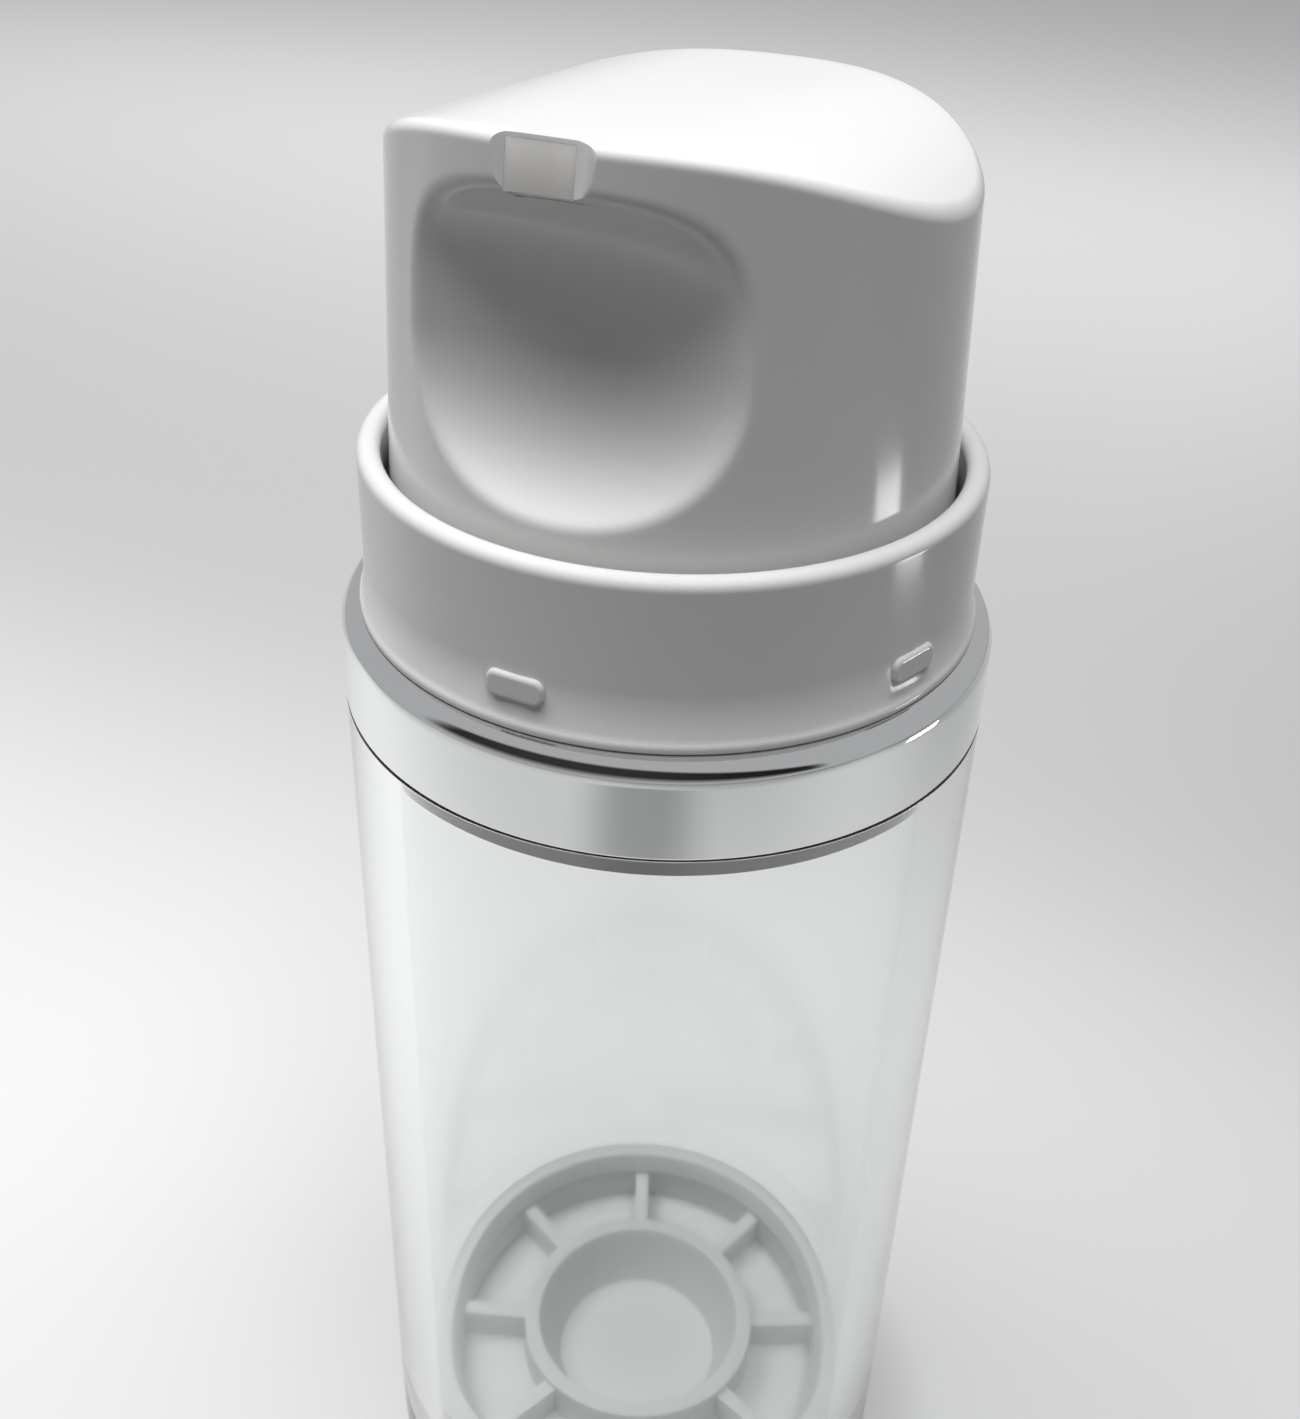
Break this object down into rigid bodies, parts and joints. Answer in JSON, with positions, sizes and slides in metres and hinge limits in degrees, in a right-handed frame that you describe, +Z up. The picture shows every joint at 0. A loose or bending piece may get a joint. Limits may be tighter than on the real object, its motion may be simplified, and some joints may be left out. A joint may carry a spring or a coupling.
{
  "type": "airless pump bottle",
  "caption": "Airless pump bottle: clear straight bottle with a follower piston, shoulder ring, open collar and a press-down head with a finger dent.",
  "frame": {"origin": "centre of the bottle's resting face", "axes": "+Z up along the bottle's axis, nozzle towards -Y, +X to the right seen from the nozzle's side"},
  "size_m": [0.04, 0.04, 0.1083],
  "materials": {
    "clear_plastic": "clear, polished",
    "chrome_plate": "bright plated plastic",
    "white_gloss": "gloss",
    "nozzle_plastic": "gloss",
    "natural_plastic": "satin, slightly translucent",
    "pump_plastic": "satin",
    "seal": "matt",
    "steel": "drawn wire and ground ball"
  },
  "bodies": {
    "container": {"bottle": "clear_plastic", "trim_ring": "chrome_plate", "closure": "white_gloss", "collar": "white_gloss", "neck_gasket": "seal", "pump_housing": "pump_plastic", "ball_cage": "pump_plastic", "gland": "pump_plastic", "stem_wiper": "seal", "return_spring": "steel"},
    "stem_unit": {"stem": "pump_plastic", "stem_foot": "pump_plastic"},
    "head": {"actuator_core": "white_gloss", "actuator_shell": "white_gloss", "nozzle_insert": "nozzle_plastic"},
    "piston_unit": {"pump_piston": "natural_plastic"},
    "inlet_valve": {"inlet_ball": "steel"},
    "follower": {"follower_piston": "natural_plastic"}
  },
  "joints": [
    {"name": "head_press", "type": "slide", "parent": "container", "child": "stem_unit", "axis": [0, 0, -1], "range_m": [0, 0.006], "stiffness_N_per_m": 1500, "springref_m": -0.006, "deforming": ["return_spring"]},
    {"name": "head_turn", "type": "hinge", "parent": "stem_unit", "child": "head", "pos_m": [0, 0, 0.0965], "axis": [0, 0, 1], "continuous": true},
    {"name": "piston_slide", "type": "slide", "parent": "container", "child": "piston_unit", "axis": [0, 0, -1], "range_m": [0, 0.0051]},
    {"name": "inlet_lift", "type": "slide", "parent": "container", "child": "inlet_valve", "axis": [0, 0, 1], "range_m": [0, 0.001]},
    {"name": "follower_rise", "type": "slide", "parent": "container", "child": "follower", "axis": [0, 0, 1], "range_m": [0, 0.0562]}
  ],
  "couplings": [
    {"joint": "piston_slide", "follows": "head_press", "ratio": 0.85}
  ]
}
